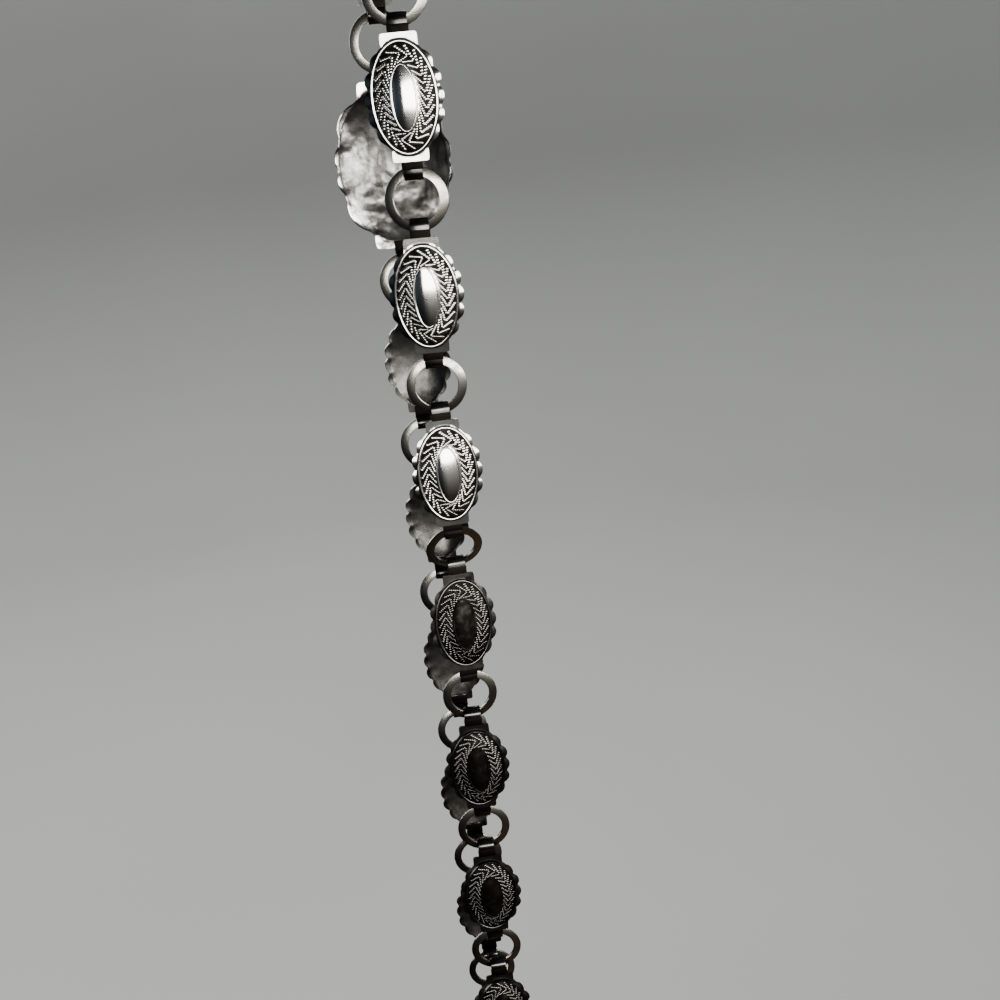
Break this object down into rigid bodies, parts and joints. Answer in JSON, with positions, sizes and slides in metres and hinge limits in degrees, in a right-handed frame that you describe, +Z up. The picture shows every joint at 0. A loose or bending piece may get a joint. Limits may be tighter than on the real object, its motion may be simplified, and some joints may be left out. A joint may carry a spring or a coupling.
{
  "type": "concho belt",
  "caption": "Chain belt of stamped, scalloped oval conchos joined by flat rings with rolled tabs, closed into a loop and hung doubled.",
  "frame": {"origin": "under the hollow of the top concho, at the point where the doubled belt hangs", "axes": "+Z up, along the hanging belt; -Y towards the front strand, which faces the viewer; +X across the conchos"},
  "size_m": [0.0358, 0.0503, 0.4953],
  "materials": {
    "stamped_silver": "antiqued polished",
    "ring_silver": "satin polished",
    "hook_silver": "satin polished"
  },
  "bodies": {
    "root": {"concho_01": "stamped_silver", "ring_01": "ring_silver", "concho_02": "stamped_silver", "ring_02": "ring_silver", "concho_03": "stamped_silver", "ring_03": "ring_silver", "concho_04": "stamped_silver", "ring_04": "ring_silver", "concho_05": "stamped_silver", "ring_05": "ring_silver", "concho_06": "stamped_silver", "ring_06": "ring_silver", "concho_07": "stamped_silver", "ring_07": "ring_silver", "concho_08": "stamped_silver", "ring_08": "ring_silver", "concho_09": "stamped_silver", "ring_09": "ring_silver", "concho_10": "stamped_silver", "ring_10": "ring_silver", "hook_clasp": "hook_silver", "ring_11": "ring_silver", "concho_11": "stamped_silver", "ring_12": "ring_silver", "concho_12": "stamped_silver", "ring_13": "ring_silver", "concho_13": "stamped_silver", "ring_14": "ring_silver", "concho_14": "stamped_silver", "ring_15": "ring_silver", "concho_15": "stamped_silver", "ring_16": "ring_silver", "concho_16": "stamped_silver", "ring_17": "ring_silver", "large_concho": "stamped_silver", "ring_18": "ring_silver", "concho_17": "stamped_silver", "ring_19": "ring_silver"}
  },
  "joints": []
}
